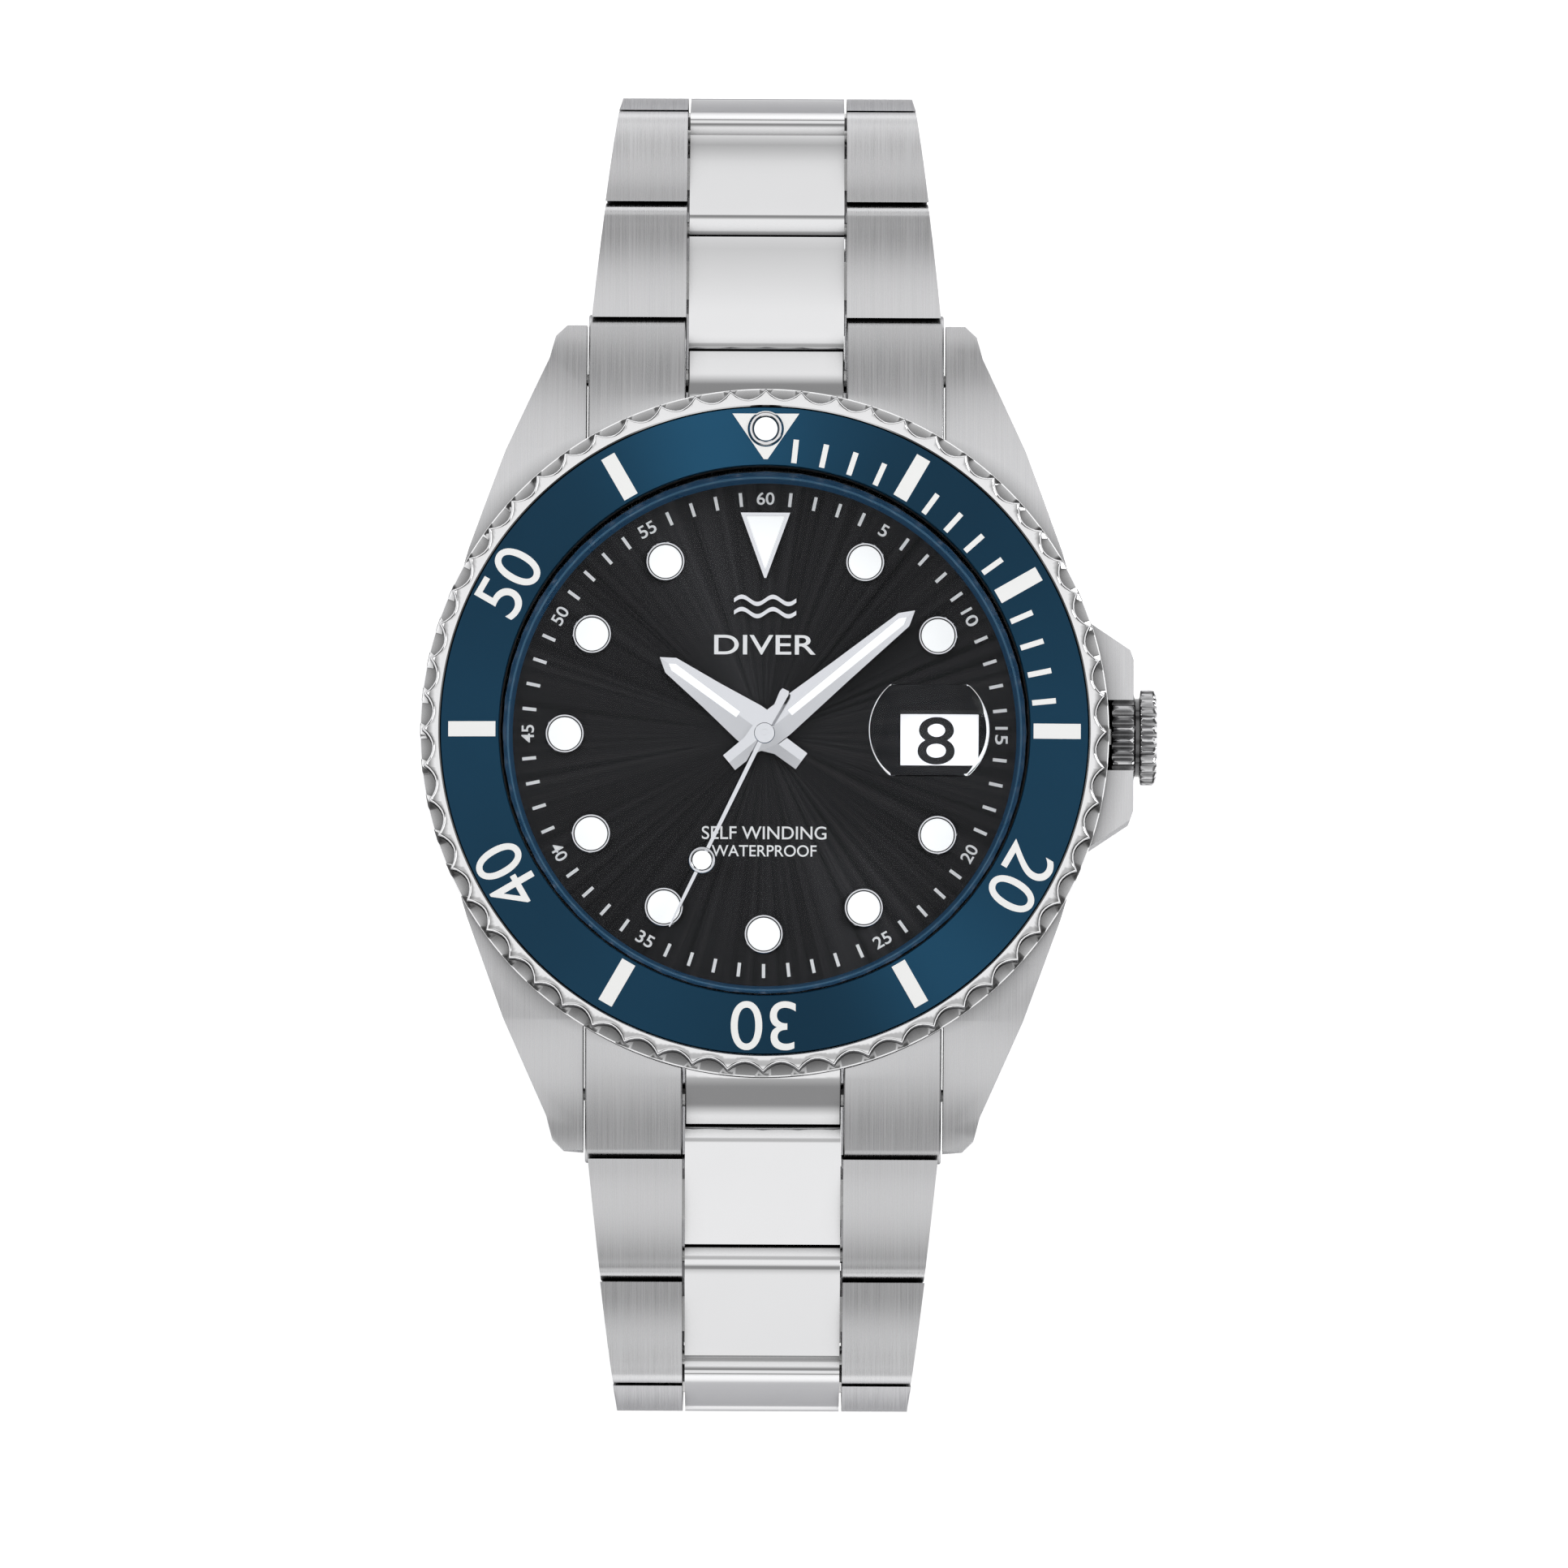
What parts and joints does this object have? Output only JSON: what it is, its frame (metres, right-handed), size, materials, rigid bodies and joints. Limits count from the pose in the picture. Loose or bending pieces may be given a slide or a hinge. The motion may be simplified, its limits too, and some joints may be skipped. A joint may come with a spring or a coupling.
{
  "type": "dive watch",
  "caption": "Steel dive watch with a turning bezel, date window, screw crown, self-winding movement and a link bracelet closed by a fold-over clasp.",
  "frame": {"origin": "on the surface that the clasp rests on, under the axis of the hands", "axes": "+Z is the way the dial faces, +Y is twelve o'clock, +X is the crown side"},
  "size_m": [0.0451, 0.0818, 0.0454],
  "materials": {
    "brushed_steel": "brushed",
    "polished_steel": "polished",
    "navy_insert": "gloss",
    "navy_flange": "gloss",
    "black_dial": "sunburst satin",
    "white_lume": "matte",
    "date_disc": "matte",
    "sapphire": "polished",
    "gasket_rubber": "matte",
    "brass": "satin",
    "movement_steel": "satin"
  },
  "bodies": {
    "case": {"mid_case": "brushed_steel", "case_back": "polished_steel", "case_back_gasket": "gasket_rubber", "crystal": "sapphire", "date_magnifier": "sapphire", "crystal_gasket": "gasket_rubber", "dial_flange": "navy_flange", "dial": "black_dial", "crown_tube": "movement_steel", "end_link_12": "brushed_steel", "end_link_6": "brushed_steel", "spring_bar_12": "movement_steel", "spring_bar_6": "movement_steel", "movement_ring": "movement_steel", "main_plate": "movement_steel", "train_bridge": "movement_steel", "balance_cock": "movement_steel", "rotor_bearing": "movement_steel", "bezel_click_spring": "movement_steel"},
    "bezel": {"bezel_ring": "polished_steel", "bezel_insert": "navy_insert", "bezel_pearl": "white_lume"},
    "winding_stem": {"winding_stem": "movement_steel"},
    "crown": {"crown": "polished_steel"},
    "seconds": {"seconds_hand": "polished_steel", "fourth_wheel": "brass"},
    "minutes": {"minute_hand": "polished_steel", "center_wheel": "brass"},
    "hours": {"hour_hand": "polished_steel", "hour_wheel": "brass"},
    "third_wheel": {"third_wheel": "brass"},
    "escape_wheel": {"escape_wheel": "movement_steel"},
    "barrel": {"barrel": "brass"},
    "pallet_fork": {"pallet_fork": "movement_steel"},
    "balance": {"balance_wheel": "brass", "hairspring": "movement_steel"},
    "date_disc": {"date_disc": "date_disc"},
    "rotor": {"rotor": "brass"},
    "link_12_1": {"link_12_1": "brushed_steel"},
    "link_12_2": {"link_12_2": "brushed_steel"},
    "link_12_3": {"link_12_3": "brushed_steel"},
    "link_12_4": {"link_12_4": "brushed_steel"},
    "link_12_5": {"link_12_5": "brushed_steel"},
    "link_12_6": {"link_12_6": "brushed_steel"},
    "link_12_7": {"link_12_7": "brushed_steel"},
    "link_6_1": {"link_6_1": "brushed_steel"},
    "link_6_2": {"link_6_2": "brushed_steel"},
    "link_6_3": {"link_6_3": "brushed_steel"},
    "link_6_4": {"link_6_4": "brushed_steel"},
    "link_6_5": {"link_6_5": "brushed_steel"},
    "link_6_6": {"link_6_6": "brushed_steel"},
    "link_6_7": {"link_6_7": "brushed_steel", "clasp_spring_bar": "movement_steel"},
    "clasp_inner_blade": {"clasp_inner_blade": "brushed_steel"},
    "clasp_outer_blade": {"clasp_outer_blade": "brushed_steel"},
    "clasp_cover": {"clasp_cover": "brushed_steel"},
    "clasp_button_left": {"clasp_button_left": "polished_steel"},
    "clasp_button_right": {"clasp_button_right": "polished_steel"}
  },
  "joints": [
    {"name": "bezel_turn", "type": "hinge", "parent": "case", "child": "bezel", "pos_m": [0, 0, 0.042], "axis": [0, 0, 1], "continuous": true},
    {"name": "stem_pull", "type": "slide", "parent": "case", "child": "winding_stem", "axis": [1, 0, 0], "range_m": [0, 0.0015]},
    {"name": "crown_turn", "type": "hinge", "parent": "winding_stem", "child": "crown", "pos_m": [0.022, 0, 0.038], "axis": [1, 0, 0], "continuous": true},
    {"name": "seconds_turn", "type": "hinge", "parent": "case", "child": "seconds", "pos_m": [0, 0, 0.038], "axis": [0, 0, 1], "continuous": true},
    {"name": "minute_turn", "type": "hinge", "parent": "case", "child": "minutes", "pos_m": [0, 0, 0.038], "axis": [0, 0, 1], "continuous": true},
    {"name": "hour_turn", "type": "hinge", "parent": "case", "child": "hours", "pos_m": [0, 0, 0.038], "axis": [0, 0, 1], "continuous": true},
    {"name": "third_wheel_turn", "type": "hinge", "parent": "case", "child": "third_wheel", "pos_m": [-0.00254, -0.00092, 0.036], "axis": [0, 0, 1], "continuous": true},
    {"name": "escape_wheel_turn", "type": "hinge", "parent": "case", "child": "escape_wheel", "pos_m": [0.00199, -0.00167, 0.036], "axis": [0, 0, 1], "continuous": true},
    {"name": "barrel_turn", "type": "hinge", "parent": "case", "child": "barrel", "pos_m": [0.0028, 0.00485, 0.0365], "axis": [0, 0, 1], "continuous": true},
    {"name": "pallet_swing", "type": "hinge", "parent": "case", "child": "pallet_fork", "pos_m": [0.00338, -0.00363, 0.036], "axis": [0, 0, 1], "range_deg": [-5, 5]},
    {"name": "balance_swing", "type": "hinge", "parent": "case", "child": "balance", "pos_m": [0.00527, -0.00628, 0.0364], "axis": [0, 0, 1], "range_deg": [-270, 270], "stiffness_Nm_per_rad": 0.000001},
    {"name": "date_turn", "type": "hinge", "parent": "case", "child": "date_disc", "pos_m": [0, 0, 0.0386], "axis": [0, 0, 1], "continuous": true},
    {"name": "rotor_turn", "type": "hinge", "parent": "case", "child": "rotor", "pos_m": [0, 0, 0.0347], "axis": [0, 0, 1], "continuous": true},
    {"name": "link_12_1_swing", "type": "hinge", "parent": "case", "child": "link_12_1", "pos_m": [0, 0.0244, 0.0352], "axis": [1, 0, 0], "range_deg": [0, 23]},
    {"name": "link_12_2_swing", "type": "hinge", "parent": "link_12_1", "child": "link_12_2", "pos_m": [0, 0.03154, 0.0326], "axis": [1, 0, 0], "range_deg": [0, 19]},
    {"name": "link_12_3_swing", "type": "hinge", "parent": "link_12_2", "child": "link_12_3", "pos_m": [0, 0.03769, 0.02813], "axis": [1, 0, 0], "range_deg": [0, 45]},
    {"name": "link_12_4_swing", "type": "hinge", "parent": "link_12_3", "child": "link_12_4", "pos_m": [0, 0.03927, 0.0207], "axis": [1, 0, 0], "range_deg": [0, 31]},
    {"name": "link_12_5_swing", "type": "hinge", "parent": "link_12_4", "child": "link_12_5", "pos_m": [0, 0.03718, 0.01339], "axis": [1, 0, 0], "range_deg": [0, 27]},
    {"name": "link_12_6_swing", "type": "hinge", "parent": "link_12_5", "child": "link_12_6", "pos_m": [0, 0.03229, 0.00757], "axis": [1, 0, 0], "range_deg": [0, 25]},
    {"name": "link_12_7_swing", "type": "hinge", "parent": "link_12_6", "child": "link_12_7", "pos_m": [0, 0.02558, 0.004], "axis": [1, 0, 0], "range_deg": [0, 23]},
    {"name": "link_6_1_swing", "type": "hinge", "parent": "case", "child": "link_6_1", "pos_m": [0, -0.0244, 0.0352], "axis": [-1, 0, 0], "range_deg": [0, 23]},
    {"name": "link_6_2_swing", "type": "hinge", "parent": "link_6_1", "child": "link_6_2", "pos_m": [0, -0.03154, 0.0326], "axis": [-1, 0, 0], "range_deg": [0, 19]},
    {"name": "link_6_3_swing", "type": "hinge", "parent": "link_6_2", "child": "link_6_3", "pos_m": [0, -0.03769, 0.02813], "axis": [-1, 0, 0], "range_deg": [0, 45]},
    {"name": "link_6_4_swing", "type": "hinge", "parent": "link_6_3", "child": "link_6_4", "pos_m": [0, -0.03927, 0.0207], "axis": [-1, 0, 0], "range_deg": [0, 31]},
    {"name": "link_6_5_swing", "type": "hinge", "parent": "link_6_4", "child": "link_6_5", "pos_m": [0, -0.03718, 0.01339], "axis": [-1, 0, 0], "range_deg": [0, 27]},
    {"name": "link_6_6_swing", "type": "hinge", "parent": "link_6_5", "child": "link_6_6", "pos_m": [0, -0.03229, 0.00757], "axis": [-1, 0, 0], "range_deg": [0, 25]},
    {"name": "link_6_7_swing", "type": "hinge", "parent": "link_6_6", "child": "link_6_7", "pos_m": [0, -0.02558, 0.004], "axis": [-1, 0, 0], "range_deg": [0, 23]},
    {"name": "clasp_swing", "type": "hinge", "parent": "link_12_7", "child": "clasp_inner_blade", "pos_m": [0, 0.01805, 0.00295], "axis": [1, 0, 0], "range_deg": [0, 30]},
    {"name": "blade_unfold", "type": "hinge", "parent": "clasp_inner_blade", "child": "clasp_outer_blade", "pos_m": [0, -0.0128, 0.0022], "axis": [-1, 0, 0], "range_deg": [0, 150]},
    {"name": "cover_open", "type": "hinge", "parent": "clasp_outer_blade", "child": "clasp_cover", "pos_m": [0, 0.0126, 0.0016], "axis": [1, 0, 0], "range_deg": [0, 150]},
    {"name": "button_left_press", "type": "slide", "parent": "clasp_cover", "child": "clasp_button_left", "axis": [1, 0, 0], "range_m": [0, 0.0007], "stiffness_N_per_m": 2000},
    {"name": "button_right_press", "type": "slide", "parent": "clasp_cover", "child": "clasp_button_right", "axis": [-1, 0, 0], "range_m": [0, 0.0007], "stiffness_N_per_m": 2000}
  ],
  "couplings": [
    {"joint": "minute_turn", "follows": "seconds_turn", "ratio": 0.016667},
    {"joint": "hour_turn", "follows": "seconds_turn", "ratio": 0.0013889},
    {"joint": "third_wheel_turn", "follows": "seconds_turn", "ratio": -0.13333},
    {"joint": "escape_wheel_turn", "follows": "seconds_turn", "ratio": -12},
    {"joint": "barrel_turn", "follows": "seconds_turn", "ratio": -0.002},
    {"joint": "blade_unfold", "follows": "cover_open", "ratio": 1}
  ]
}
